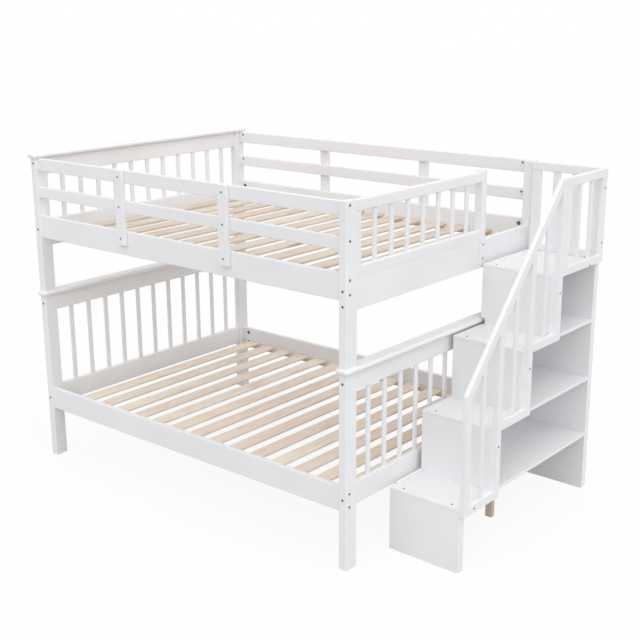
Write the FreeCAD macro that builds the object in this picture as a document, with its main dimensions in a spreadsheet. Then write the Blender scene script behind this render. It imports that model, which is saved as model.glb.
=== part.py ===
import FreeCAD, Part
import os
import re
import Sketcher

# Bunk bed with storage stairs, in painted wood with pine slats.
#
# +X runs along the bed from its head to the stairs, +Y from the open long side to the
# wall side, +Z up.  The origin lies on the floor under the middle of the outline.
# Every board, post and rail is a piece of its own, butted, lapped or seated on the next.

VERTICAL, ALONG_X, ALONG_Y = "XY_Plane", "YZ_Plane", "XZ_Plane"

# alias, millimetres or count, what it is
SIZES = [
    # bed frame
    ("bed_length", 2000, "outer faces of head posts to outer faces of foot posts"),
    ("bed_width", 1472, "outer face of near posts to outer face of far posts"),
    ("post_x", 41, "post section along the bed"),
    ("post_y", 68, "post section across the bed"),
    ("post_round", 5, "rounding of post edges"),
    ("rail_edge", 2.5, "bevel on the long edges of rails, stiles and uprights"),
    ("hand_round", 3, "rounding of the handrails' top edges"),
    ("arris", 1.5, "small bevel on slats, balusters and boards"),
    ("lower_post_height", 868, "floor to the underside of the lower caps"),
    ("upper_post_length", 678, "upper post, standing on the cap"),
    # moulded caps
    ("cap_thick", 22, "cap board"),
    ("cap_over", 15, "cap overhang past the posts, all round"),
    ("cap_corner", 20, "plan radius of the cap corners"),
    ("cap_nose", 10, "radius of the rounded cap edge"),
    # long sides
    ("side_rail_height", 113, "mattress side rails"),
    ("side_rail_thick", 22, "side and guard rails"),
    ("side_rail_set", 10, "outer face of the side rails behind the post face"),
    ("lower_rail_z", 260, "floor to the lower side rails"),
    ("upper_rail_lift", 279, "cap top to the upper side rails"),
    ("guard_top_height", 60, "top guard rail of a long side"),
    ("guard_mid_height", 54, "middle guard rail of a long side"),
    ("guard_top_drop", 1, "top guard rail below the post tops"),
    ("guard_gap", 81, "clear height between the two guard rails"),
    ("upright_wide", 54, "upright that ties the guard rails to the side rail"),
    ("upright_thick", 20, "same, thickness"),
    ("upright_lap", 62, "lap of the upright over the side rail"),
    # ends
    ("end_thick", 25, "rails of the head and foot ends"),
    ("end_top_height", 84, "top rail under a cap"),
    ("end_low_height", 100, "bottom rail of the lower bunk's ends"),
    ("end_low_z", 280, "floor to that bottom rail"),
    ("end_deep_height", 133, "deep rail at the ends of the upper bunk"),
    ("end_deep_drop", 45, "deep end rail below the upper side rails"),
    ("slat_wide", 24, "upright slat of an end, across the bed"),
    ("slat_thick", 10, "same, along the bed"),
    ("slat_count", 11, "upright slats in a full end"),
    # short guard over the foot end of the upper bunk
    ("foot_guard_reach", 976, "near post face to the guard post at the opening"),
    ("guard_post_wide", 35, "guard post beside the opening"),
    ("guard_post_over", 4, "guard post above the foot posts"),
    ("guard_lap_rise", 4, "foot of the lapped guard post above the end rail's underside"),
    ("foot_guard_low", 43, "bottom rail of the short guard"),
    ("foot_guard_top", 46, "top rail of the short guard"),
    ("foot_guard_drop", 2, "top rail of the short guard below the post tops"),
    ("foot_stile_wide", 36, "stile of the short guard beside the near post"),
    ("foot_slat_count", 7, "slats in the short guard"),
    # mattress decks
    ("deck_slat_wide", 78, "pine slat, along the bed"),
    ("deck_slat_thick", 10, "pine slat"),
    ("deck_slat_count", 14, "pine slats in one bunk"),
    ("deck_slat_play", 4, "slat end to side rail"),
    ("ledger_wide", 22, "pine ledger under the slat ends"),
    ("ledger_high", 24, "same, height"),
    ("ledger_rise", 2, "ledger above the underside of its side rail"),
    ("ledger_clear", 1, "ledger end to the barrel nut before it"),
    # stairs
    ("stair_gap", 14, "foot posts to the stair boards"),
    ("stair_wide", 357, "stair boards across the treads"),
    ("stair_front", 282, "near bed face to the first riser"),
    ("tread_run", 231.7, "one riser face to the next"),
    ("stair_deep", 1095, "first riser face to the back panel"),
    ("panel_thick", 36, "risers and back panel"),
    ("board_thick", 16, "treads, which run back as shelves"),
    ("first_tread_over", 10, "first tread above the foot end's bottom rail underside"),
    ("third_tread_under", 5, "third tread below the cap that passes over it"),
    ("top_tread_over", 25, "top tread above the deep end rail's underside"),
    ("side_panel_thick", 9, "panels that close the shelves towards the bed"),
    ("side_panel_set", 22, "same, behind the board ends"),
    ("notch_deep", 20, "notch in the tall panels that clears the bed's cap"),
    ("notch_clear_low", 3, "notch below the cap"),
    ("notch_clear_top", 5, "notch above the cap"),
    ("leg_x", 34, "support leg under the first shelf"),
    ("leg_y", 26, "same, across"),
    ("leg_in", 155, "stair board ends to the leg"),
    ("leg_back", 537, "first riser face to the leg"),
    ("link_radius", 3, "connecting sleeve between bed and stairs"),
    ("link_back", 58, "first riser face to the lower connecting bolt"),
    # stair railing
    ("railing_thick", 20, "railing members"),
    ("rail_post_wide", 38, "railing post"),
    ("rail_post_pitch", 236.7, "one railing post to the next"),
    ("rail_post_low", 34, "first two posts start below the first tread"),
    ("flight_rail_high", 37, "rail along a tread of the flight"),
    ("flight_rail_low", 34, "same, underside below the tread it follows"),
    ("landing_rail_high", 35, "rail along the top tread"),
    ("landing_rail_low", 12, "same, underside below the top tread"),
    ("baluster_wide", 24, "baluster, along the stairs"),
    ("baluster_thick", 10, "baluster"),
    ("handrail_high", 40, "handrail, square to its run"),
    ("handrail_run", 707, "first riser face to the handrail's bend"),
    ("handrail_rise", 784, "height the sloped handrail gains over its run"),
    ("handrail_top_over", 422, "handrail top above the top tread"),
    ("landing_stile_wide", 36, "stile beside the last railing post"),
    ("corner_post_back", 1087, "first riser face to the corner post"),
    ("corner_post_wide", 38, "corner post of the landing"),
    # guard behind the landing
    ("rear_inset", 6, "back of the rear guard in front of the tread's back edge"),
    ("rear_low_high", 33, "bottom rail of the rear guard"),
    ("rear_stile_wide", 46, "end stiles of the rear guard"),
    ("rear_slat_wide", 36, "slats of the rear guard"),
    ("rear_slat_thick", 12, "same, thickness"),
    # heads of the fasteners
    ("bolt_radius", 5, "bolt head"),
    ("screw_radius", 4, "screw head"),
    ("nut_radius", 9, "barrel nut in the inner face of a side rail"),
    ("guard_nut_radius", 5, "same, of a guard rail"),
    ("head_high", 1.2, "head above the face it sits on"),
    ("side_bolt_edge", 27, "side rail edge to the bolts, top and bottom"),
    ("guard_bolt_drop", 15, "guard rail top to its bolt"),
    ("deep_bolt_low", 24, "deep end rail's underside to its lower bolt"),
    ("deep_bolt_high", 86, "same, to its upper bolt"),
    ("head_bolt_drop", 27, "top of the head's upper top rail to its bolt"),
    ("low_bolt_rise", 38, "underside of a lower bottom rail to its bolt"),
    ("nut_in", 36, "post to the barrel nuts of a side rail"),
    ("guard_nut_in", 28, "post to the barrel nuts of a guard rail"),
    ("lap_screw_low", 47, "deep end rail's underside to the guard post's lower screw"),
    ("lap_screw_high", 110, "same, to its upper screw"),
    ("tread_screw_in", 56, "board ends to the tread screws"),
    ("tread_screw_back", 25, "riser face to the tread screws"),
    ("post_screw_rise", 202, "tread to the screw of the railing post behind it"),
    ("flight_screw_back", 80, "first riser face to the screw in the first flight rail"),
    ("landing_screw_back", 85, "corner post to the screw in the landing rail"),
    ("corner_screw_drop", 47, "level handrail's underside to the corner post's upper screw"),
    ("corner_screw_rise", 79, "top tread to the corner post's lower screw"),
]

# alias, formula over the sizes
DERIVED = [
    ("railing_in", "stair_gap + stair_wide"),
    ("foot_x", "(bed_length + cap_over - railing_in - railing_thick - head_high) / 2"),
    ("head_x", "foot_x - bed_length"),
    ("near_y", "-bed_width / 2"),
    ("far_post_y", "bed_width / 2 - post_y"),
    ("foot_post_x", "foot_x - post_x"),
    ("clear_long", "bed_length - 2 * post_x"),
    ("clear_wide", "bed_width - 2 * post_y"),
    ("cap_top", "lower_post_height + cap_thick"),
    ("post_top", "cap_top + upper_post_length"),
    ("end_set", "(post_x - end_thick) / 2"),
    ("foot_end_x", "foot_post_x + end_set"),
    ("head_end_x", "head_x + end_set"),
    ("end_inner", "bed_length - 2 * end_set - 2 * end_thick"),
    ("lower_top_rail_z", "lower_post_height - end_top_height"),
    ("lower_slat_z", "end_low_z + end_low_height"),
    ("lower_slat_high", "lower_top_rail_z - lower_slat_z"),
    ("upper_rail_z", "cap_top + upper_rail_lift"),
    ("deep_rail_z", "upper_rail_z - end_deep_drop"),
    ("deep_rail_top", "deep_rail_z + end_deep_height"),
    ("upper_top_rail_z", "post_top - end_top_height"),
    ("guard_top_z", "post_top - guard_top_drop - guard_top_height"),
    ("guard_mid_z", "guard_top_z - guard_gap - guard_mid_height"),
    ("upright_z", "upper_rail_z + side_rail_height - upright_lap"),
    ("upright_high", "guard_top_z + guard_top_height - upright_z"),
    ("end_slat_gap", "(clear_wide - slat_count * slat_wide) / (slat_count + 1)"),
    ("near_rail_y", "near_y + side_rail_set"),
    ("far_rail_y", "-near_rail_y - side_rail_thick"),
    ("deck_clear", "far_rail_y - near_rail_y - side_rail_thick"),
    ("ledger_inset", "nut_in + nut_radius + ledger_clear"),
    ("deck_gap", "(end_inner - deck_slat_count * deck_slat_wide) / (deck_slat_count + 1)"),
    ("foot_low_rail_z", "deep_rail_top + foot_guard_low"),
    ("foot_top_rail_z", "post_top - foot_guard_drop - foot_guard_top"),
    ("foot_slat_high", "foot_top_rail_z - foot_low_rail_z"),
    ("foot_guard_long", "foot_guard_reach - post_y"),
    ("foot_slat_field", "foot_guard_long - foot_stile_wide"),
    ("foot_slat_gap", "(foot_slat_field - foot_slat_count * slat_wide) / (foot_slat_count + 1)"),
    ("guard_post_y", "near_y + foot_guard_reach"),
    ("lap_deep", "end_thick / 2"),
    ("stair_x", "foot_x + stair_gap"),
    ("stair_y", "near_y + stair_front"),
    ("back_y", "stair_y + stair_deep"),
    ("tread1_z", "end_low_z + first_tread_over"),
    ("tread3_z", "lower_post_height - third_tread_under"),
    ("tread2_z", "(tread1_z + tread3_z) / 2"),
    ("tread4_z", "deep_rail_z + top_tread_over"),
    ("riser2_y", "stair_y + tread_run"),
    ("riser3_y", "riser2_y + tread_run"),
    ("riser4_y", "riser3_y + tread_run"),
    ("notch_low", "lower_post_height - notch_clear_low"),
    ("notch_top", "cap_top + notch_clear_top"),
    ("railing_x", "foot_x + railing_in"),
    ("rail_post2_y", "stair_y + rail_post_pitch"),
    ("rail_post3_y", "rail_post2_y + rail_post_pitch"),
    ("rail_post4_y", "rail_post3_y + rail_post_pitch"),
    ("handrail_top", "tread4_z + handrail_top_over"),
    ("handrail_under", "handrail_top - handrail_high"),
    ("bend_y", "stair_y + handrail_run"),
    ("hand_slope", "handrail_rise / handrail_run"),
    ("hand_plumb", "handrail_high * sqrt(1 + hand_slope * hand_slope)"),
    ("mitre_y", "bend_y + (hand_plumb - handrail_high) / hand_slope"),
    ("hand_foot_z", "handrail_top - handrail_rise"),
    ("landing_rail_z", "tread4_z - landing_rail_low"),
    ("landing_stile_y", "rail_post4_y + rail_post_wide"),
    ("corner_y", "stair_y + corner_post_back"),
    ("landing_field", "corner_y - landing_stile_y - landing_stile_wide"),
    ("landing_gap", "(landing_field - 2 * baluster_wide) / 3"),
    ("rear_y", "back_y + panel_thick - rear_inset - railing_thick"),
    ("rear_slat_field", "stair_wide - 2 * rear_stile_wide"),
    ("rear_slat_gap", "(rear_slat_field - 2 * rear_slat_wide) / 3"),
    ("rear_slat_z", "tread4_z + rear_low_high"),
]

doc = FreeCAD.newDocument("bunk_bed_with_storage_stairs")
sheet = doc.addObject("Spreadsheet::Sheet", "sizes")
for row, (alias, value, meaning) in enumerate(SIZES, 1):
    sheet.set("A%d" % row, meaning)
    sheet.set("B%d" % row, str(value))
    sheet.setAlias("B%d" % row, alias)
for row, (alias, formula) in enumerate(DERIVED, len(SIZES) + 2):
    sheet.set("B%d" % row, "=" + formula)
    sheet.setAlias("B%d" % row, alias)
doc.recompute()

ALIASES = {entry[0] for entry in SIZES + DERIVED}
pieces = []


def bound(formula):
    """The formula with each size written as a reference to its cell."""
    return re.sub(r"[a-z][a-z0-9_]*",
                  lambda m: "sizes." + m.group(0) if m.group(0) in ALIASES else m.group(0),
                  formula)


def bind(thing, target, formula):
    thing.setExpression(target, bound(formula))


def plane_of(body, role):
    return next(item for item in body.Origin.OriginFeatures if item.Role == role)


def outline(body, role, points):
    """Closed sketch through points given as pairs of formulas."""
    sketch = body.newObject("Sketcher::SketchObject", body.Name + "_outline")
    sketch.AttachmentSupport = (plane_of(body, role), "")
    sketch.MapMode = "FlatFace"
    count = len(points)
    seats = [cell_values(x, y) for x, y in points]
    for i in range(count):
        sketch.addGeometry(Part.LineSegment(seats[i], seats[(i + 1) % count]), False)
    for i in range(count):
        sketch.addConstraint(Sketcher.Constraint("Coincident", i, 2, (i + 1) % count, 1))
    for i, (x, y) in enumerate(points):
        for kind, formula, value in (("DistanceX", x, seats[i].x), ("DistanceY", y, seats[i].y)):
            index = sketch.addConstraint(Sketcher.Constraint(kind, -1, 1, i, 1, value))
            bind(sketch, "Constraints[%d]" % index, formula)
    return sketch


def cell_values(x, y):
    """The point's present place, from the cells."""
    probe = sheet.evalExpression
    return FreeCAD.Vector(float(probe(x)), float(probe(y)), 0)


def place(thing, at):
    for axis, formula in zip("xyz", at):
        bind(thing, "Placement.Base." + axis, formula)


def solid(name, role, points, length, at):
    """Body made by extruding an outline along the role's axis, seated at a point."""
    body = doc.addObject("PartDesign::Body", name)
    body.Label = name
    sketch = outline(body, role, points)
    pad = body.newObject("PartDesign::Pad", name + "_pad")
    pad.Profile = sketch
    pad.Reversed = role == ALONG_Y
    bind(pad, "Length", length)
    sketch.Visibility = False
    place(body, at)
    body.Tip = pad
    doc.recompute()
    return body


def section(size, role):
    """Width and height of the cross-section of a box with the given size."""
    x, y, z = size
    return {VERTICAL: (x, y, z), ALONG_X: (y, z, x), ALONG_Y: (x, z, y)}[role]


def box(name, role, size, at):
    """Square-edged bar."""
    wide, high, length = section(size, role)
    points = [("0", "0"), (wide, "0"), (wide, high), ("0", high)]
    return solid(name, role, points, length, at)


def bevelled(name, role, size, at, bevel="arris"):
    """Bar whose four long edges carry a bevel."""
    wide, high, length = section(size, role)
    low, right, top = bevel, "(%s) - %s" % (wide, bevel), "(%s) - %s" % (high, bevel)
    points = [(low, "0"), (right, "0"), (wide, low), (wide, top),
              (right, high), (low, high), ("0", top), ("0", low)]
    return solid(name, role, points, length, at)


def round_long_edges(body, role, radius):
    """Fillet on the edges that run along the bar."""
    run = {VERTICAL: FreeCAD.Vector(0, 0, 1), ALONG_X: FreeCAD.Vector(1, 0, 0),
           ALONG_Y: FreeCAD.Vector(0, 1, 0)}[role]
    base = body.Tip
    chosen = ["Edge%d" % (i + 1) for i, edge in enumerate(base.Shape.Edges)
              if abs(abs(edge.tangentAt(edge.FirstParameter).dot(run)) - 1) < 1e-6]
    fillet = body.newObject("PartDesign::Fillet", body.Name + "_round")
    fillet.Base = (base, chosen)
    bind(fillet, "Radius", radius)
    body.Tip = fillet
    doc.recompute()
    return body


def rail(name, role, size, at):
    """Bar with the rails' bevel on its long edges."""
    return bevelled(name, role, size, at, "rail_edge")


def seated_rail(name, size, at):
    """Rail across the bed whose underside is left square, for a tight joint below it."""
    wide, high, length = section(size, ALONG_Y)
    points = [("0", "0"), (wide, "0"), (wide, "%s - rail_edge" % high),
              ("%s - rail_edge" % wide, high), ("rail_edge", high), ("0", "%s - rail_edge" % high)]
    return solid(name, ALONG_Y, points, length, at)


def repeated(body, axis, count, span):
    """Separate copies of the bar, spread over a span along an axis."""
    pattern = body.newObject("PartDesign::LinearPattern", body.Name + "_repeat")
    pattern.TransformMode = "Whole shape"
    pattern.Direction = (plane_of(body, axis + "_Axis"), [""])
    bind(pattern, "Length", span)
    bind(pattern, "Occurrences", count)
    body.Tip = pattern
    doc.recompute()
    return body


def keep(thing):
    pieces.append(thing)
    return thing


def gather(name, members):
    """One named piece made of separate, alike members."""
    group = doc.addObject("Part::Compound", name)
    group.Label = name
    group.Links = members
    return keep(group)


def notched(body, name, size, at):
    """Box cut out of a body; the cutter's size and place follow the cells."""
    cutter = doc.addObject("Part::Box", name + "_cutter")
    for side, formula in zip(("Length", "Width", "Height"), size):
        bind(cutter, side, formula)
    place(cutter, at)
    cut = doc.addObject("Part::Cut", name)
    cut.Label = name
    cut.Base, cut.Tool = body, cutter
    doc.recompute()
    return cut


TURNS = {"+x": ((0, 1, 0), 90), "-x": ((0, 1, 0), -90), "+y": ((1, 0, 0), -90),
         "-y": ((1, 0, 0), 90), "+z": ((0, 0, 1), 0)}


def stud(name, radius, height, at, facing):
    """Eight-sided stub that stands on a face and points the way it faces."""
    thing = doc.addObject("Part::Prism", name)
    thing.Polygon = 8
    bind(thing, "Circumradius", radius)
    bind(thing, "Height", height)
    axis, angle = TURNS[facing]
    thing.Placement.Rotation = FreeCAD.Rotation(FreeCAD.Vector(*axis), angle)
    place(thing, at)
    return thing


def heads(name, radius, spots):
    """Alike heads, one at each spot, given as x, y, z and the way it faces."""
    return [stud("%s_%02d" % (name, i), radius, "head_high", spot[:3], spot[3])
            for i, spot in enumerate(spots, 1)]


# ---------------------------------------------------------------- head and foot ends

def post(name, x, y, z, height):
    body = box(name, VERTICAL, ("post_x", "post_y", height), (x, y, z))
    keep(round_long_edges(body, VERTICAL, "post_round"))


def cap(name, x, z):
    """Board over the posts with rounded corners and a half-round edge all the way."""
    body = box(name, VERTICAL, ("post_x + 2 * cap_over", "bed_width + 2 * cap_over", "cap_thick"),
               ("%s - cap_over" % x, "near_y - cap_over", z))
    round_long_edges(body, VERTICAL, "cap_corner")
    base = body.Tip
    rims = ["Edge%d" % (i + 1) for i, edge in enumerate(base.Shape.Edges)
            if edge.BoundBox.ZLength < 1e-6]
    nose = body.newObject("PartDesign::Fillet", name + "_nose")
    nose.Base = (base, rims)
    bind(nose, "Radius", "cap_nose")
    body.Tip = nose
    doc.recompute()
    keep(body)


def end_rail(name, x, z, height):
    keep(rail(name, ALONG_Y, ("end_thick", "clear_wide", height), (x, "near_y + post_y", z)))


def end_slats(name, x, z, height):
    body = bevelled(name, VERTICAL, ("slat_thick", "slat_wide", height),
                    ("%s + (end_thick - slat_thick) / 2" % x, "near_y + post_y + end_slat_gap", z))
    keep(repeated(body, "Y", "slat_count", "(slat_count - 1) * (slat_wide + end_slat_gap)"))


def lower_end(name, post_x, rail_x):
    post(name + "_post_near", post_x, "near_y", "0", "lower_post_height")
    post(name + "_post_far", post_x, "far_post_y", "0", "lower_post_height")
    end_rail(name + "_bottom_rail", rail_x, "end_low_z", "end_low_height")
    end_rail(name + "_top_rail", rail_x, "lower_top_rail_z", "end_top_height")
    end_slats(name + "_slats", rail_x, "lower_slat_z", "lower_slat_high")
    cap(name + "_cap", post_x, "lower_post_height")


def upper_head():
    post("upper_head_post_near", "head_x", "near_y", "cap_top", "upper_post_length")
    post("upper_head_post_far", "head_x", "far_post_y", "cap_top", "upper_post_length")
    end_rail("upper_head_bottom_rail", "head_end_x", "deep_rail_z", "end_deep_height")
    end_rail("upper_head_top_rail", "head_end_x", "upper_top_rail_z", "end_top_height")
    end_slats("upper_head_slats", "head_end_x", "deep_rail_top", "upper_top_rail_z - deep_rail_top")
    cap("upper_head_cap", "head_x", "post_top")


def upper_foot():
    """Foot end of the upper bunk: deep rail, short guard, guard post and the opening."""
    post("upper_foot_post_near", "foot_post_x", "near_y", "cap_top", "upper_post_length")
    post("upper_foot_post_far", "foot_post_x", "far_post_y", "cap_top", "upper_post_length")
    lap_z = "deep_rail_z + guard_lap_rise"
    deep = bevelled("upper_foot_end_rail_blank", ALONG_Y,
                    ("end_thick", "clear_wide", "end_deep_height"),
                    ("foot_end_x", "near_y + post_y", "deep_rail_z"))
    keep(notched(deep, "upper_foot_end_rail",
                 ("lap_deep", "guard_post_wide", "end_deep_height"),
                 ("foot_end_x + end_thick - lap_deep", "guard_post_y", lap_z)))
    guard = rail("upper_foot_guard_post_blank", VERTICAL,
                 ("post_x", "guard_post_wide", "post_top + guard_post_over - (%s)" % lap_z),
                 ("foot_post_x", "guard_post_y", lap_z))
    keep(notched(guard, "upper_foot_guard_post",
                 ("end_set + end_thick - lap_deep", "guard_post_wide",
                  "end_deep_height - guard_lap_rise"),
                 ("foot_post_x", "guard_post_y", lap_z)))
    start = "near_y + post_y"
    gather("upper_foot_guard_rails",
           [seated_rail("foot_guard_rail_low", ("end_thick", "foot_guard_long", "foot_guard_low"),
                        ("foot_end_x", start, "deep_rail_top")),
            rail("foot_guard_rail_top", ALONG_Y, ("end_thick", "foot_guard_long", "foot_guard_top"),
                 ("foot_end_x", start, "foot_top_rail_z"))])
    keep(rail("upper_foot_guard_stile", VERTICAL,
              ("end_thick", "foot_stile_wide", "foot_slat_high"),
              ("foot_end_x", start, "foot_low_rail_z")))
    slat = bevelled("upper_foot_guard_slats", VERTICAL, ("slat_thick", "slat_wide", "foot_slat_high"),
                    ("foot_end_x + (end_thick - slat_thick) / 2",
                     start + " + foot_stile_wide + foot_slat_gap", "foot_low_rail_z"))
    keep(repeated(slat, "Y", "foot_slat_count",
                  "(foot_slat_count - 1) * (slat_wide + foot_slat_gap)"))


# ---------------------------------------------------------------- long sides and decks

def side_rails(side, y):
    for name, z, height in (("lower_side_rail", "lower_rail_z", "side_rail_height"),
                            ("upper_side_rail", "upper_rail_z", "side_rail_height"),
                            ("guard_mid_rail", "guard_mid_z", "guard_mid_height"),
                            ("guard_top_rail", "guard_top_z", "guard_top_height")):
        keep(rail("%s_%s" % (name, side), ALONG_X, ("clear_long", "side_rail_thick", height),
                  ("head_x + post_x", y, z)))


def guard_uprights():
    """Uprights at the thirds of the bed, on the outer faces of the rails of each side."""
    gather("guard_uprights",
           [repeated(rail("uprights_" + side, VERTICAL,
                          ("upright_wide", "upright_thick", "upright_high"),
                          ("head_x + bed_length / 3 - upright_wide / 2", y, "upright_z")),
                     "X", "2", "bed_length / 3")
            for side, y in (("near", "near_rail_y - upright_thick"),
                            ("far", "far_rail_y + side_rail_thick"))])


def ledgers(level):
    """Ledgers along the inner faces of the two side rails of a bunk."""
    body = bevelled(level + "_ledgers", ALONG_X,
                    ("clear_long - 2 * ledger_inset", "ledger_wide", "ledger_high"),
                    ("head_x + post_x + ledger_inset", "near_rail_y + side_rail_thick",
                     level + "_rail_z + ledger_rise"))
    return repeated(body, "Y", "2", "deck_clear - ledger_wide")


def deck(level):
    """Pine slats across the bunk, lying on its ledgers."""
    slats = bevelled(level + "_bed_slats", ALONG_Y,
                     ("deck_slat_wide", "deck_clear - 2 * deck_slat_play", "deck_slat_thick"),
                     ("head_end_x + end_thick + deck_gap",
                      "near_rail_y + side_rail_thick + deck_slat_play",
                      level + "_rail_z + ledger_rise + ledger_high"))
    keep(repeated(slats, "X", "deck_slat_count",
                  "(deck_slat_count - 1) * (deck_slat_wide + deck_gap)"))


# ---------------------------------------------------------------- stairs

def notched_panels():
    """Last riser and back panel, notched on the bed side to clear the cap's edge."""
    high = "tread4_z - board_thick"
    riser = [("notch_deep", "tread3_z"), ("stair_wide", "tread3_z"), ("stair_wide", high),
             ("0", high), ("0", "notch_top"), ("notch_deep", "notch_top")]
    keep(solid("stair_riser_4", ALONG_Y, riser, "panel_thick", ("stair_x", "riser4_y", "0")))
    back = [("0", "0"), ("stair_wide", "0"), ("stair_wide", high), ("0", high),
            ("0", "notch_top"), ("notch_deep", "notch_top"),
            ("notch_deep", "notch_low"), ("0", "notch_low")]
    keep(solid("stair_back_panel", ALONG_Y, back, "panel_thick", ("stair_x", "back_y", "0")))


def stair_boards():
    under = "tread%d_z - board_thick"
    faces = ["stair_y", "riser2_y", "riser3_y"]
    floors = ["0", "tread1_z", "tread2_z"]
    for i, (y, floor) in enumerate(zip(faces, floors), 1):
        keep(bevelled("stair_riser_%d" % i, VERTICAL,
                      ("stair_wide", "panel_thick", "%s - %s" % (under % i, floor)),
                      ("stair_x", y, floor)))
        keep(bevelled("stair_board_%d" % i, ALONG_X,
                      ("stair_wide", "back_y - %s" % y, "board_thick"),
                      ("stair_x", y, under % i)))
    keep(bevelled("stair_top_tread", ALONG_X,
                  ("stair_wide", "back_y + panel_thick - riser4_y", "board_thick"),
                  ("stair_x", "riser4_y", under % 4)))


def stair_side_panels():
    """Thin panels between the boards that close each shelf towards the bed."""
    members = []
    for i, y in enumerate(("riser2_y", "riser3_y", "riser4_y"), 1):
        start = "%s + panel_thick" % y
        members.append(box("side_panel_%d" % i, VERTICAL,
                           ("side_panel_thick", "back_y - (%s)" % start,
                            "tread%d_z - board_thick - tread%d_z" % (i + 1, i)),
                           ("stair_x + side_panel_set", start, "tread%d_z" % i)))
    gather("stair_side_panels", members)


def stair_supports():
    keep(bevelled("stair_support_leg", VERTICAL, ("leg_x", "leg_y", "tread1_z - board_thick"),
                  ("stair_x + leg_in", "stair_y + leg_back", "0")))
    links = [stud("link_low", "link_radius", "stair_x - foot_end_x - end_thick",
                  ("foot_end_x + end_thick", "stair_y + link_back", "(end_low_z + tread1_z) / 2"),
                  "+x"),
             stud("link_high", "link_radius", "stair_gap",
                  ("foot_x", "guard_post_y + guard_post_wide / 2", "tread4_z - board_thick / 2"),
                  "+x")]
    gather("stair_link_sleeves", links)


# ---------------------------------------------------------------- railing

def under_slope(y):
    """Height of the sloped handrail's underside at y."""
    return "handrail_top - hand_plumb - hand_slope * (bend_y - (%s))" % y


def railing_bar(name, y, low, tops, wide, thick, inset="0"):
    """Upright railing member; tops are its upper corners from far to near, from y."""
    points = [("0", low), (wide, low)] + tops
    return solid(name, ALONG_X, points, thick, ("railing_x + " + inset, y, "0"))


def sloped_bar(name, y, low, wide, thick, inset="0"):
    tops = [(wide, under_slope("%s + %s" % (y, wide))), ("0", under_slope(y))]
    return railing_bar(name, y, low, tops, wide, thick, inset)


def railing_posts():
    bars = [sloped_bar("railing_post_1", "stair_y", "tread1_z - rail_post_low",
                       "rail_post_wide", "railing_thick"),
            sloped_bar("railing_post_2", "rail_post2_y", "tread1_z - rail_post_low",
                       "rail_post_wide", "railing_thick"),
            sloped_bar("railing_post_3", "rail_post3_y", "tread2_z - board_thick",
                       "rail_post_wide", "railing_thick")]
    bend = [("rail_post_wide", "handrail_under"), ("mitre_y - rail_post4_y", "handrail_under"),
            ("0", under_slope("rail_post4_y"))]
    bars.append(railing_bar("railing_post_4", "rail_post4_y", "tread3_z - board_thick", bend,
                            "rail_post_wide", "railing_thick"))
    for name, y, wide in (("landing_stile", "landing_stile_y", "landing_stile_wide"),
                          ("corner_post", "corner_y", "corner_post_wide")):
        bars.append(rail(name, VERTICAL, ("railing_thick", wide, "handrail_under - landing_rail_z"),
                         ("railing_x", y, "landing_rail_z")))
    gather("railing_posts", bars)


def railing_rails():
    """Rails along the treads of the flight and along the landing."""
    flight = []
    ends = ["stair_y", "rail_post2_y", "rail_post3_y", "rail_post4_y"]
    for i in range(3):
        flight.append(box("flight_rail_%d" % (i + 1), ALONG_Y,
                          ("railing_thick", "%s - %s - rail_post_wide" % (ends[i + 1], ends[i]),
                           "flight_rail_high"),
                          ("railing_x", "%s + rail_post_wide" % ends[i],
                           "tread%d_z - %s" % (i + 1, "flight_rail_low" if i == 0 else "board_thick"))))
    flight.append(box("landing_rail", ALONG_Y,
                      ("railing_thick", "landing_field", "landing_rail_high"),
                      ("railing_x", "landing_stile_y + landing_stile_wide", "landing_rail_z")))
    gather("railing_bottom_rails", flight)


def balusters():
    bars = []
    ends = ["stair_y", "rail_post2_y", "rail_post3_y", "rail_post4_y"]
    inset = "(railing_thick - baluster_thick) / 2"
    for i in range(3):
        y = "(%s + rail_post_wide + %s - baluster_wide) / 2" % (ends[i], ends[i + 1])
        foot = "tread%d_z - %s + flight_rail_high" % (
            i + 1, "flight_rail_low" if i == 0 else "board_thick")
        bars.append(sloped_bar("flight_baluster_%d" % (i + 1), y, foot,
                               "baluster_wide", "baluster_thick", inset))
    foot = "landing_rail_z + landing_rail_high"
    for i in range(2):
        y = "landing_stile_y + landing_stile_wide + landing_gap + %d * (baluster_wide + landing_gap)" % i
        bars.append(box("landing_baluster_%d" % (i + 1), VERTICAL,
                        ("baluster_thick", "baluster_wide", "handrail_under - (%s)" % foot),
                        ("railing_x + " + inset, y, foot)))
    gather("railing_balusters", bars)


def handrails():
    """Sloped and level handrail, cut to one mitre at the bend."""
    slope = [("stair_y", "hand_foot_z"), ("stair_y", "hand_foot_z - hand_plumb"),
             ("mitre_y", "handrail_under"), ("bend_y", "handrail_top")]
    sloped = solid("handrail_sloped", ALONG_X, slope, "railing_thick", ("railing_x", "0", "0"))
    level = [("bend_y", "handrail_top"), ("mitre_y", "handrail_under"),
             ("corner_y + corner_post_wide", "handrail_under"),
             ("corner_y + corner_post_wide", "handrail_top")]
    flat = solid("handrail_level", ALONG_X, level, "railing_thick", ("railing_x", "0", "0"))
    for body in (sloped, flat):
        keep(round_top_edges(body))


def round_top_edges(body):
    """Fillet on the two long top edges of a handrail."""
    base = body.Tip
    longest = sorted(range(len(base.Shape.Edges)), key=lambda i: -base.Shape.Edges[i].Length)
    high = sorted(longest[:4], key=lambda i: -base.Shape.Edges[i].CenterOfMass.z)[:2]
    fillet = body.newObject("PartDesign::Fillet", body.Name + "_round")
    fillet.Base = (base, ["Edge%d" % (i + 1) for i in high])
    bind(fillet, "Radius", "hand_round")
    body.Tip = fillet
    doc.recompute()
    return body


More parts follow.
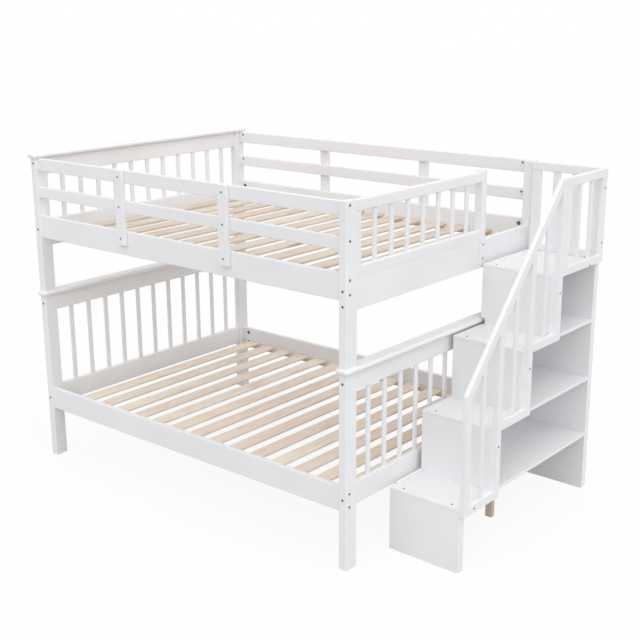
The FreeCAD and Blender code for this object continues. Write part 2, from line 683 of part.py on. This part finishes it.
def rear_guard():
    """Guard behind the landing, standing on the top tread."""
    gather("rear_guard_rails",
           [rail("rear_rail_" + side, ALONG_X, ("stair_wide", "railing_thick", height),
                 ("stair_x", "rear_y", z))
            for side, z, height in (("low", "tread4_z", "rear_low_high"),
                                    ("top", "handrail_under", "handrail_high"))])
    stile = rail("rear_stiles", VERTICAL,
                 ("rear_stile_wide", "railing_thick", "handrail_under - rear_slat_z"),
                 ("stair_x", "rear_y", "rear_slat_z"))
    slat = bevelled("rear_slats", VERTICAL,
                    ("rear_slat_wide", "rear_slat_thick", "handrail_under - rear_slat_z"),
                    ("stair_x + rear_stile_wide + rear_slat_gap",
                     "rear_y + (railing_thick - rear_slat_thick) / 2", "rear_slat_z"))
    gather("rear_guard_uprights",
           [repeated(stile, "X", "2", "stair_wide - rear_stile_wide"),
            repeated(slat, "X", "2", "rear_slat_wide + rear_slat_gap")])


# ---------------------------------------------------------------- fasteners

SIDE_RAIL_BOLTS = ["lower_rail_z + side_bolt_edge", "lower_rail_z + side_rail_height - side_bolt_edge",
                   "upper_rail_z + side_bolt_edge", "upper_rail_z + side_rail_height - side_bolt_edge"]
GUARD_RAIL_BOLTS = ["guard_mid_z + guard_mid_height - guard_bolt_drop",
                    "guard_top_z + guard_top_height - guard_bolt_drop"]
LOWER_END_BOLTS = ["end_low_z + low_bolt_rise", "lower_top_rail_z + end_top_height / 2"]
FOOT_END_BOLTS = LOWER_END_BOLTS + ["deep_rail_z + deep_bolt_low", "deep_rail_z + deep_bolt_high"]
HEAD_END_BOLTS = LOWER_END_BOLTS + ["deep_rail_z + deep_bolt_high",
                                    "upper_top_rail_z + end_top_height - head_bolt_drop"]


def bolts():
    """Bolt heads on the end faces and the long faces of the posts."""
    spots = []
    for y in ("near_rail_y + side_rail_thick / 2", "far_rail_y + side_rail_thick / 2"):
        for z in SIDE_RAIL_BOLTS + GUARD_RAIL_BOLTS:
            spots += [("foot_x", y, z, "+x"), ("head_x", y, z, "-x")]
    for y, facing in (("near_y", "-y"), ("-near_y", "+y")):
        spots += [("foot_post_x + post_x / 2", y, z, facing) for z in FOOT_END_BOLTS]
        spots += [("head_x + post_x / 2", y, z, facing) for z in HEAD_END_BOLTS]
    gather("bolts", heads("bolt", "bolt_radius", spots))


def barrel_nuts():
    """Barrel nuts in the inner faces of the side and guard rails, behind the bolts."""
    nuts = []
    for kind, levels in (("", SIDE_RAIL_BOLTS), ("guard_", GUARD_RAIL_BOLTS)):
        spots = []
        for y, facing in (("near_rail_y + side_rail_thick", "+y"), ("far_rail_y", "-y")):
            for z in levels:
                spots += [("foot_post_x - %snut_in" % kind, y, z, facing),
                          ("head_x + post_x + %snut_in" % kind, y, z, facing)]
        nuts += heads(kind + "nut", kind + "nut_radius", spots)
    gather("barrel_nuts", nuts)


def screws():
    """Screw heads in uprights, guard post, treads and railing."""
    spots = []
    for y, facing in (("near_rail_y - upright_thick", "-y"),
                      ("far_rail_y + side_rail_thick + upright_thick", "+y")):
        for third in (1, 2):
            x = "head_x + %d * bed_length / 3" % third
            spots += [(x, y, "upright_z + upright_lap / 2", facing),
                      (x, y, "guard_mid_z + guard_mid_height / 2", facing),
                      (x, y, "guard_top_z + guard_top_height / 2", facing)]
    for rise in ("lap_screw_low", "lap_screw_high"):
        spots.append(("foot_x", "guard_post_y + guard_post_wide / 2", "deep_rail_z + " + rise, "+x"))
    for x in ("stair_x + tread_screw_in", "railing_x - tread_screw_in"):
        for i, face in enumerate(("stair_y", "riser2_y", "riser3_y", "riser4_y"), 1):
            spots.append((x, face + " + tread_screw_back", "tread%d_z" % i, "+z"))
        spots.append((x, "back_y + rear_slat_thick / 2", "tread4_z", "+z"))
    outer = "railing_x + railing_thick"
    for i in (2, 3, 4):
        spots.append((outer, "rail_post%d_y + rail_post_wide / 2" % i,
                      "tread%d_z + post_screw_rise" % (i - 1), "+x"))
    corner = "corner_y + corner_post_wide / 2"
    spots += [(outer, "stair_y + flight_screw_back", "tread1_z - board_thick", "+x"),
              (outer, "corner_y - landing_screw_back", "tread4_z - board_thick / 2", "+x"),
              (outer, corner, "handrail_under - corner_screw_drop", "+x"),
              (outer, corner, "tread4_z + corner_screw_rise", "+x")]
    gather("screws", heads("screw", "screw_radius", spots))


lower_end("lower_head", "head_x", "head_end_x")
lower_end("lower_foot", "foot_post_x", "foot_end_x")
upper_head()
upper_foot()
side_rails("near", "near_rail_y")
side_rails("far", "far_rail_y")
guard_uprights()
gather("slat_ledgers", [ledgers("lower"), ledgers("upper")])
deck("lower")
deck("upper")
stair_boards()
notched_panels()
stair_side_panels()
stair_supports()
railing_posts()
railing_rails()
balusters()
handrails()
rear_guard()
bolts()
barrel_nuts()
screws()
doc.recompute()

for item in doc.Objects:
    if "Invalid" in item.State or "Error" in item.State:
        raise RuntimeError("failed: " + item.Name)
os.makedirs("parts", exist_ok=True)
for piece in pieces:
    shape = piece.Shape
    if shape.isNull() or not shape.isValid() or not shape.Solids:
        raise RuntimeError("bad shape: " + piece.Label)
    shape.exportStep("parts/%s.step" % piece.Label)
print(len(pieces), "pieces,", sum(len(piece.Shape.Solids) for piece in pieces), "solids")
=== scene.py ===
import math

import bmesh
import bpy
from mathutils import Matrix, Vector

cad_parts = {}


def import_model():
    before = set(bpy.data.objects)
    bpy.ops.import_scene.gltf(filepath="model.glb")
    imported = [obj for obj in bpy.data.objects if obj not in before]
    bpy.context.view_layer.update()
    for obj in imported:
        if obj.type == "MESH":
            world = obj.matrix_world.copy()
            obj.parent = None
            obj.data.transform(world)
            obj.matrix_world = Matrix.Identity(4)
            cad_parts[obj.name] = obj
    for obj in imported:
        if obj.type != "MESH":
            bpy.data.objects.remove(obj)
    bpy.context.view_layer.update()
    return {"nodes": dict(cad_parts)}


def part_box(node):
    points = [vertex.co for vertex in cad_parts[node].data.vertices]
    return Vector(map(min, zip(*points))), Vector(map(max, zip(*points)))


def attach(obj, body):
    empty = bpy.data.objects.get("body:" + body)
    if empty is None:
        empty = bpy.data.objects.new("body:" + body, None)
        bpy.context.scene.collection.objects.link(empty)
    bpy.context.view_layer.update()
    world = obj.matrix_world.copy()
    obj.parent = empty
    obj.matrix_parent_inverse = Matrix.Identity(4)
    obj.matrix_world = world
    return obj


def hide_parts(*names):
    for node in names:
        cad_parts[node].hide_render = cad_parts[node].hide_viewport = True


# Looks of the bunk bed with storage stairs: lacquer, pine and steel on the CAD nodes, domed
# heads in place of the CAD's fastener stubs, and a pale studio.  Lengths are in metres.

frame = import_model()

NODES = frame["nodes"]
BOXES = {name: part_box(name) for name in NODES}
# recess in the heads of each fastener node
RECESSES = {"bolts": "hex", "screws": "cross", "barrel_nuts": "slot"}


# ---------------------------------------------------------------- node trees

NOISE_RANGE = (0.3, 0.7)    # where most values of a noise lie
# numbers of the sockets with which a Mix node mixes colours: three inputs and an output
MIX_SHARE, MIX_FIRST, MIX_SECOND, MIX_RESULT = 0, 6, 7, 2
BEVEL_SAMPLES = 6
PLAIN_SPECULAR = 0.5


def linear(red, green, blue):
    """Linear colour from 0-255 display values."""
    def one(value):
        value /= 255
        return value / 12.92 if value <= 0.04045 else ((value + 0.055) / 1.055) ** 2.4
    return (one(red), one(green), one(blue), 1)


def even_grey(level):
    """Linear grey, where 1 is white."""
    return (level, level, level, 1)


class Graph:
    """Short way to build the node tree of a material or a world."""

    def __init__(self, owner):
        owner.use_nodes = True
        self.tree = owner.node_tree

    def add(self, kind, **settings):
        node = self.tree.nodes.new("ShaderNode" + kind)
        for key, value in settings.items():
            setattr(node, key, value)
        return node

    def set(self, target, value):
        """Link an output, or write a constant, into a socket."""
        if isinstance(value, bpy.types.NodeSocket):
            self.tree.links.new(value, target)
        else:
            target.default_value = value

    def math(self, operation, *values):
        node = self.add("Math", operation=operation)
        for socket, value in zip(node.inputs, values):
            self.set(socket, value)
        return node.outputs[0]

    def range(self, value, before, after):
        """Value carried from one range to another, and held at its ends."""
        node = self.add("MapRange")
        for socket, item in zip(node.inputs, (value, *before, *after)):
            self.set(socket, item)
        return node.outputs[0]

    def seen_directly(self):
        """1 for camera, glossy and transmission rays."""
        rays = self.add("LightPath")
        seen = self.math("MAXIMUM", rays.outputs["Is Camera Ray"], rays.outputs["Is Glossy Ray"])
        return self.math("MAXIMUM", seen, rays.outputs["Is Transmission Ray"])


class Surface(Graph):
    """Graph of a new material."""

    def __init__(self, name):
        self.material = bpy.data.materials.new(name)
        super().__init__(self.material)
        self.shader = self.tree.nodes["Principled BSDF"]
        self.output = self.tree.nodes["Material Output"]
        self.place = self.add("TexCoord").outputs["Object"]

    def stretched(self, run, scales, shift=None):
        """Object coordinates scaled along the run and across it, shifted where a shift is given."""
        along, across = scales
        node = self.add("VectorMath", operation="MULTIPLY")
        self.set(node.inputs[0], self.place)
        node.inputs[1].default_value = [along if axis == run else across for axis in "xyz"]
        if shift is None:
            return node.outputs[0]
        moved = self.add("VectorMath", operation="ADD")
        self.set(moved.inputs[0], node.outputs[0])
        self.set(moved.inputs[1], shift)
        return moved.outputs[0]

    def noise(self, where, scale, detail=3.0, rough=0.5, bend=0.0):
        node = self.add("TexNoise")
        self.set(node.inputs["Vector"], where)
        node.inputs["Scale"].default_value = scale
        node.inputs["Detail"].default_value = detail
        node.inputs["Roughness"].default_value = rough
        node.inputs["Distortion"].default_value = bend
        return node.outputs["Fac"]

    def ramp(self, value, places, colours):
        """Colour ramp with a colour at each place."""
        node = self.add("ValToRGB")
        self.set(node.inputs[0], value)
        elements = node.color_ramp.elements
        while len(elements) < len(places):
            elements.new(0.5)
        for element, place, colour in zip(elements, places, colours):
            element.position = place
            element.color = colour
        return node.outputs[0]

    def mix(self, share, first, second, blend="MIX"):
        """Second colour laid over the first; share is an output."""
        node = self.add("Mix", data_type="RGBA", blend_type=blend)
        self.set(node.inputs[MIX_SHARE], share)
        self.set(node.inputs[MIX_FIRST], first)
        self.set(node.inputs[MIX_SECOND], second)
        return node.outputs[MIX_RESULT]

    def shade(self, colour, noise, roughness, specular=PLAIN_SPECULAR):
        """Colour and gloss; the noise moves the roughness within its range."""
        self.set(self.shader.inputs["Base Color"], colour)
        self.set(self.shader.inputs["Roughness"], self.range(noise, NOISE_RANGE, roughness))
        self.shader.inputs["Specular IOR Level"].default_value = specular

    def relief(self, edge, layers):
        """Bump layers over softened edges; each layer is a height output and its depth."""
        bevel = self.add("Bevel", samples=BEVEL_SAMPLES)
        bevel.inputs["Radius"].default_value = edge
        normal = bevel.outputs[0]
        for height, depth in layers:
            bump = self.add("Bump")
            bump.inputs["Strength"].default_value = 1.0
            bump.inputs["Distance"].default_value = depth
            self.set(bump.inputs["Height"], height)
            self.set(bump.inputs["Normal"], normal)
            normal = bump.outputs[0]
        self.set(self.shader.inputs["Normal"], normal)


# ---------------------------------------------------------------- mesh measures

WELD = 0.0001    # CAD faces meet in vertices that are closer than this


def islands(mesh):
    """Vertex places of each separate body of a mesh, whose CAD faces are welded first."""
    shape = bmesh.new()
    shape.from_mesh(mesh)
    bmesh.ops.remove_doubles(shape, verts=shape.verts, dist=WELD)
    seen = set()
    for start in shape.verts:
        if start in seen:
            continue
        group, front = [], [start]
        seen.add(start)
        while front:
            vert = front.pop()
            group.append(vert.co.copy())
            for edge in vert.link_edges:
                other = edge.other_vert(vert)
                if other not in seen:
                    seen.add(other)
                    front.append(other)
        yield group
    shape.free()


def corners(group):
    """Lowest and highest corner of a group of places."""
    low = Vector([min(point[i] for point in group) for i in range(3)])
    high = Vector([max(point[i] for point in group) for i in range(3)])
    return low, high


def board_steps(name):
    """Pitch of a deck's boards along x, and where the first one's share of it starts."""
    boards = sorted((corners(group) for group in islands(NODES[name].data)),
                    key=lambda ends: ends[0].x)
    (first_low, first_high), (last_low, _) = boards[0], boards[-1]
    pitch = (last_low.x - first_low.x) / (len(boards) - 1)
    gap = pitch - (first_high.x - first_low.x)
    return pitch, first_low.x - gap / 2


# ---------------------------------------------------------------- materials

# scale of each pattern along the boards and across them
GRAIN = (1.0, 26.0)
RINGS = (0.9, 23.4)
FIBRE = (5.0, 130.0)
MOTTLE = (7.0, 22.0)
KNOTS = (0.84, 4.2832)

GRAIN_SHARE = 0.2            # share of the grain in the paint's tone
BOARD_SHIFT = 40.0           # how far apart in the patterns the boards may be cut
LONE_BOARD_SEED = 3.0
KNOT_RADII = (0.03, 0.10)    # distances from its middle at which a knot starts to fade and ends
KNOT_LIMIT = 0.62            # a cell holds a knot where the grey of its random colour is above this
KNOT_SHARE = 0.6             # share of the knot's own tone in its middle

# radius of softened edges and depth of bump layers
PAINT_EDGE, GRAIN_DEPTH, SPRAY_DEPTH = 0.0016, 0.00014, 0.00003
PINE_EDGE, FIBRE_DEPTH, RING_DEPTH = 0.0012, 0.00022, 0.00012
STEEL_EDGE, SPOT_DEPTH = 0.0003, 0.00004

PAINT_ROUGHNESS, PAINT_SPECULAR = (0.36, 0.48), 0.35
PINE_ROUGHNESS, PINE_SPECULAR = (0.52, 0.68), 0.3
STEEL_ROUGHNESS, STEEL_METALLIC = (0.32, 0.5), 0.6

# darker and lighter tone
PAINT_TONES = (linear(234, 234, 236), linear(241, 241, 243))
DARK_STEEL_TONES = (linear(88, 88, 91), linear(122, 122, 126))
ZINC_TONES = (linear(200, 200, 203), linear(222, 222, 226))
# light, middle, deep and pinkish tone of the boards
# the lower deck's boards are coloured lighter as painted light against the shade under the upper bunk, and
# the upper deck's darker as painted shade against the light from above
LOWER_SLAT_TONES_PAINTED_LIGHT = (linear(250, 244, 234), linear(246, 233, 212),
                    linear(225, 205, 183), linear(244, 230, 222))
UPPER_SLAT_TONES_PAINTED_SHADE = (linear(227, 219, 209), linear(221, 207, 188),
                    linear(196, 176, 154), linear(220, 205, 196))
LEDGER_TONES = (linear(236, 226, 214), linear(234, 222, 208),
                linear(214, 194, 172), linear(234, 219, 207))
LEG_TONES = (linear(224, 208, 194), linear(216, 199, 184),
             linear(190, 170, 152), linear(220, 202, 189))
KNOT_TONE = linear(150, 108, 78)


def white_paint(run):
    """Satin lacquer on planed wood whose grain runs along one axis."""
    graph = Surface("white_paint_" + run)
    cloud = graph.noise(graph.place, scale=2.6, detail=2.0)
    spray = graph.noise(graph.place, scale=640.0, detail=2.0)
    grain = graph.noise(graph.stretched(run, GRAIN), scale=3.2, detail=5.0, rough=0.6, bend=0.4)
    tone = graph.math("ADD", graph.math("MULTIPLY", cloud, 1 - GRAIN_SHARE),
                      graph.math("MULTIPLY", grain, GRAIN_SHARE))
    colour = graph.ramp(tone, NOISE_RANGE, PAINT_TONES)
    graph.shade(colour, cloud, PAINT_ROUGHNESS, PAINT_SPECULAR)
    graph.relief(PAINT_EDGE, [(grain, GRAIN_DEPTH), (spray, SPRAY_DEPTH)])
    return graph.material


def board_seed(graph, board):
    """Vector that is the same all over one board and differs from board to board."""
    seed = graph.add("CombineXYZ")
    if board is None:
        seed.inputs[0].default_value = LONE_BOARD_SEED
        return seed.outputs[0]
    pitch, start = board
    place = graph.add("SeparateXYZ")
    graph.set(place.inputs[0], graph.place)
    steps = graph.math("DIVIDE", graph.math("SUBTRACT", place.outputs[0], start), pitch)
    graph.set(seed.inputs[0], graph.math("FLOOR", steps))
    graph.set(seed.inputs[1], graph.math("FLOOR", place.outputs[2]))
    return seed.outputs[0]


def growth_rings(graph, where):
    rings = graph.add("TexWave", wave_type="BANDS", bands_direction="DIAGONAL", wave_profile="SAW")
    graph.set(rings.inputs["Vector"], where)
    rings.inputs["Scale"].default_value = 1.1
    rings.inputs["Distortion"].default_value = 7.0
    rings.inputs["Detail"].default_value = 3.0
    rings.inputs["Detail Scale"].default_value = 0.7
    return rings.outputs["Fac"]


def knot_mask(graph, where):
    """1 in the middle of a knot; only some cells of the pattern hold one."""
    cells = graph.add("TexVoronoi", feature="F1")
    graph.set(cells.inputs["Vector"], where)
    cells.inputs["Scale"].default_value = 1.0
    spot = graph.range(cells.outputs["Distance"], KNOT_RADII, (1.0, 0.0))
    return graph.math("MULTIPLY", spot, graph.math("GREATER_THAN", cells.outputs["Color"], KNOT_LIMIT))


def pine(name, run, tones, board=None):
    """Planed pine; board is the pitch and start of parallel boards that differ in tone."""
    graph = Surface(name)
    light, middle, deep, pinkish = tones
    dice = graph.add("TexWhiteNoise", noise_dimensions="3D")
    graph.set(dice.inputs[0], board_seed(graph, board))
    offset = graph.add("VectorMath", operation="SCALE")
    graph.set(offset.inputs[0], dice.outputs["Color"])
    offset.inputs["Scale"].default_value = BOARD_SHIFT
    shift = offset.outputs[0]

    ring_place = graph.stretched(run, RINGS, shift)
    rings = growth_rings(graph, ring_place)
    broad = graph.noise(ring_place, scale=0.55, detail=3.0, bend=1.1)
    fibre = graph.noise(graph.stretched(run, FIBRE, shift), scale=1.6, detail=4.0, rough=0.65)
    mottle = graph.noise(graph.stretched(run, MOTTLE, shift), scale=1.0, detail=3.0, rough=0.6)
    knots = knot_mask(graph, graph.stretched(run, KNOTS, shift))

    colour = graph.ramp(dice.outputs["Value"], (0.0, 0.45, 0.8, 1.0), (light, middle, light, deep))
    # pattern, range of it over which the layer comes in, its greatest share, its tone
    layers = [(dice.outputs["Color"], (0.25, 0.75), 0.9, pinkish),
              (broad, (0.35, 0.75), 0.45, deep),
              (mottle, (0.48, 0.72), 0.6, deep)]
    for pattern, rise, greatest, tone in layers:
        colour = graph.mix(graph.range(pattern, rise, (0.0, greatest)), colour, tone)
    lines = graph.math("MULTIPLY", graph.range(rings, (0.62, 1.0), (0.0, 0.22)),
                       graph.range(broad, NOISE_RANGE, (0.4, 1.0)))
    colour = graph.mix(lines, colour, deep, "MULTIPLY")
    colour = graph.mix(graph.math("MULTIPLY", knots, KNOT_SHARE), colour, KNOT_TONE)

    graph.shade(colour, fibre, PINE_ROUGHNESS, PINE_SPECULAR)
    graph.relief(PINE_EDGE, [(fibre, FIBRE_DEPTH), (rings, RING_DEPTH)])
    return graph.material


def steel(name, tones):
    """Plated steel, faintly spotted."""
    graph = Surface(name)
    spots = graph.noise(graph.place, scale=220.0, detail=3.0)
    graph.shade(graph.ramp(spots, NOISE_RANGE, tones), spots, STEEL_ROUGHNESS)
    graph.shader.inputs["Metallic"].default_value = STEEL_METALLIC
    graph.relief(STEEL_EDGE, [(spots, SPOT_DEPTH)])
    return graph.material


WHITE = {run: white_paint(run) for run in "xyz"}
DARK_STEEL = steel("dark_steel", DARK_STEEL_TONES)
# the slats of a bunk run along y, its ledgers along x and the support leg along z
OWN_MATERIALS = {
    # the lower slats carry painted light and the upper slats painted shade in their tones
    "lower_bed_slats": pine("lower_bed_slats_pine_painted_light", "y", LOWER_SLAT_TONES_PAINTED_LIGHT, board_steps("lower_bed_slats")),
    "upper_bed_slats": pine("upper_bed_slats_pine_painted_shade", "y", UPPER_SLAT_TONES_PAINTED_SHADE, board_steps("upper_bed_slats")),
    "slat_ledgers": pine("ledger_pine", "x", LEDGER_TONES),
    "stair_support_leg": pine("leg_pine", "z", LEG_TONES),
    "stair_link_sleeves": steel("zinc", ZINC_TONES),
}
UPRIGHT_WORDS = ("post", "slat", "upright", "stile", "baluster", "riser", "panel")


def run_of(name):
    """Axis along which the grain of a node runs: up, or else the longest side of its box."""
    if any(word in name for word in UPRIGHT_WORDS):
        return "z"
    low, high = BOXES[name]
    spans = [high[i] - low[i] for i in range(3)]
    return "xyz"[spans.index(max(spans))]


def material_of(name):
    if name in OWN_MATERIALS:
        return OWN_MATERIALS[name]
    if name in RECESSES:
        return DARK_STEEL
    return WHITE[run_of(name)]


for name, node in NODES.items():
    node.data.materials.clear()
    node.data.materials.append(material_of(name))


# ---------------------------------------------------------------- fastener heads

HEAD_SIDES = 24
HEAD_SPREAD = 1.15    # radius of the head as a share of the CAD stub's
# shares of the radius and of the height, from the rim up to the crown
HEAD_PROFILE = [(1.0, 0.0), (1.0, 0.45), (0.94, 0.8), (0.80, 0.97), (0.62, 1.0)]
# length and half width of the arms of a recess, as shares of the head's radius
ARMS = {"slot": (0.52, 0.10), "cross": (0.50, 0.12)}
HEX_REACH = 0.42      # corner of the hexagon, as a share of the head's radius
RECESS_FLOOR = 0.2    # height of the recess's floor as a share of the head's
RECESS_TAPER = 0.97   # width of the recess's floor as a share of its lip's
ALMOST_NONE = 0.001   # keeps a divisor away from zero
TOUCH = 0.001         # how far beside a box a stub still counts as on it


def recess_reach(socket, angle):
    """Share of the head's radius at which the recess ends in a direction."""
    if socket == "hex":
        sixth = math.pi / 3
        return HEX_REACH * math.cos(sixth / 2) / math.cos(angle % sixth - sixth / 2)
    if socket == "cross":
        quarter = math.pi / 2
        angle = (angle + quarter / 2) % quarter - quarter / 2
    length, half_width = ARMS[socket]
    return min(length, half_width / max(abs(math.sin(angle)), ALMOST_NONE))


def ring(shape, height, reach):
    """Ring of vertices at a height; reach gives the radius in a direction."""
    verts = []
    for i in range(HEAD_SIDES):
        angle = 2 * math.pi * i / HEAD_SIDES
        radius = reach(angle)
        verts.append(shape.verts.new((radius * math.cos(angle), radius * math.sin(angle), height)))
    return verts


def bridge(shape, lower, upper):
    """Faces between two rings."""
    for i in range(HEAD_SIDES):
        after = (i + 1) % HEAD_SIDES
        shape.faces.new((lower[i], lower[after], upper[after], upper[i]))


def round_head(shape, radius, height, socket):
    """Low domed head standing on z = 0, with a recess in its middle."""
    rings = [ring(shape, height * up, lambda angle, out=out: radius * out) for out, up in HEAD_PROFILE]
    for up, taper in ((1.0, 1.0), (RECESS_FLOOR, RECESS_TAPER)):
        rings.append(ring(shape, height * up,
                          lambda angle, taper=taper: taper * radius * recess_reach(socket, angle)))
    for lower, upper in zip(rings, rings[1:]):
        bridge(shape, lower, upper)
    shape.faces.new(list(reversed(rings[0])))
    shape.faces.new(rings[-1])


def outward(low, high, axis):
    """Sign of the free side of a stub: away from the wood that it sits on."""
    middle = (low + high) / 2
    best, sign = None, 1
    for other, (box_low, box_high) in BOXES.items():
        if other in RECESSES:
            continue
        inside = all(box_low[i] - TOUCH <= middle[i] <= box_high[i] + TOUCH
                     for i in range(3) if i != axis)
        if not inside:
            continue
        for side, edge, face in ((1, low[axis], box_high[axis]), (-1, high[axis], box_low[axis])):
            gap = abs(edge - face)
            if best is None or gap < best:
                best, sign = gap, side
    return sign


def stub_head(group, socket):
    """Mesh of one head, seated where its CAD stub is."""
    low, high = corners(group)
    spans = high - low
    axis = min(range(3), key=lambda i: spans[i])
    height = spans[axis]
    facing = Vector([0, 0, 0])
    facing[axis] = outward(low, high, axis)
    seat = (low + high) / 2 - facing * height / 2
    turn = facing.to_track_quat("Z", "Y").to_matrix().to_4x4()
    head = bmesh.new()
    round_head(head, HEAD_SPREAD * max(spans) / 2, height, socket)
    bmesh.ops.transform(head, matrix=Matrix.Translation(seat) @ turn, verts=head.verts)
    mesh = bpy.data.meshes.new("head")
    head.to_mesh(mesh)
    head.free()
    return mesh


def fastener_heads(name, socket):
    """One piece that holds all heads of a fastener node, in its place."""
    shape = bmesh.new()
    for group in islands(NODES[name].data):
        head = stub_head(group, socket)
        shape.from_mesh(head)
        bpy.data.meshes.remove(head)
    mesh = bpy.data.meshes.new(name + "_heads")
    shape.to_mesh(mesh)
    shape.free()
    mesh.materials.append(DARK_STEEL)
    piece = bpy.data.objects.new(name + "_heads", mesh)
    bpy.context.collection.objects.link(piece)
    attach(piece, "root")
    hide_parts(name)


for name, socket in RECESSES.items():
    fastener_heads(name, socket)


# ---------------------------------------------------------------- floor, light, camera

CAMERA_PLACE = (3.4365, -4.0139, 2.3157)
CAMERA_TURN = (74.224, 0.285, 40.015)    # degrees
CAMERA_LENS = 62.545                     # millimetres, as is the frame
CAMERA_FRAME = 36
CAMERA_SHIFT = (-0.0005, -0.0113)
CAMERA_REACH = 100

FLOOR_SIZE = 80
FLOOR_GREY = 0.55         # what the floor throws back onto the object
FLOOR_GLOW = 1.07         # strength of the white that the camera sees
FLOOR_GLOW_SHARE = 0.84   # the rest of what the camera sees keeps the object's shadow

WORLD_LEVEL = 0.59
# name, azimuth from +X and elevation of the direction towards the light, strength, softness;
# angles are in degrees
SUNS = [("key", -53, 60, 1.51, 90), ("fill", -44, 19, 0.43, 60), ("rim", 32, 38, 0.38, 60)]
SUN_DISTANCE = 6


def floor():
    """Floor that throws back a plain light and looks white, with a faint shadow on it."""
    bpy.ops.mesh.primitive_plane_add(size=FLOOR_SIZE, location=(0, 0, 0))
    plane = bpy.context.object
    plane.name = "floor"
    graph = Surface("floor")
    graph.tree.nodes.remove(graph.shader)
    matt = graph.add("BsdfDiffuse")
    matt.inputs["Color"].default_value = even_grey(FLOOR_GREY)
    glow = graph.add("Emission")
    glow.inputs["Color"].default_value = even_grey(1)
    glow.inputs["Strength"].default_value = FLOOR_GLOW
    blend = graph.add("MixShader")
    graph.set(blend.inputs[0], graph.math("MULTIPLY", graph.seen_directly(), FLOOR_GLOW_SHARE))
    graph.set(blend.inputs[1], matt.outputs[0])
    graph.set(blend.inputs[2], glow.outputs[0])
    graph.set(graph.output.inputs["Surface"], blend.outputs[0])
    plane.data.materials.append(graph.material)


def world():
    """White where it is seen directly, and a plain level of light on the object."""
    sky = bpy.data.worlds.new("studio")
    bpy.context.scene.world = sky
    graph = Graph(sky)
    background = graph.tree.nodes["Background"]
    background.inputs["Color"].default_value = even_grey(1)
    level = graph.range(graph.seen_directly(), (0.0, 1.0), (WORLD_LEVEL, 1.0))
    graph.set(background.inputs["Strength"], level)


def suns():
    for name, azimuth, elevation, strength, softness in SUNS:
        lamp = bpy.data.lights.new(name, "SUN")
        lamp.energy = strength
        lamp.angle = math.radians(softness)
        holder = bpy.data.objects.new(name, lamp)
        bpy.context.collection.objects.link(holder)
        around, up = math.radians(azimuth), math.radians(elevation)
        towards = Vector((math.cos(up) * math.cos(around), math.cos(up) * math.sin(around), math.sin(up)))
        holder.rotation_euler = towards.to_track_quat("Z", "Y").to_euler()
        holder.location = towards * SUN_DISTANCE


def camera():
    data = bpy.data.cameras.new("photo_view")
    data.lens = CAMERA_LENS
    data.sensor_width = CAMERA_FRAME
    data.shift_x, data.shift_y = CAMERA_SHIFT
    data.clip_end = CAMERA_REACH
    eye = bpy.data.objects.new("photo_view", data)
    bpy.context.collection.objects.link(eye)
    eye.location = CAMERA_PLACE
    eye.rotation_euler = [math.radians(angle) for angle in CAMERA_TURN]
    bpy.context.scene.camera = eye


floor()
world()
suns()
camera()
bpy.context.scene.view_settings.view_transform = "Standard"
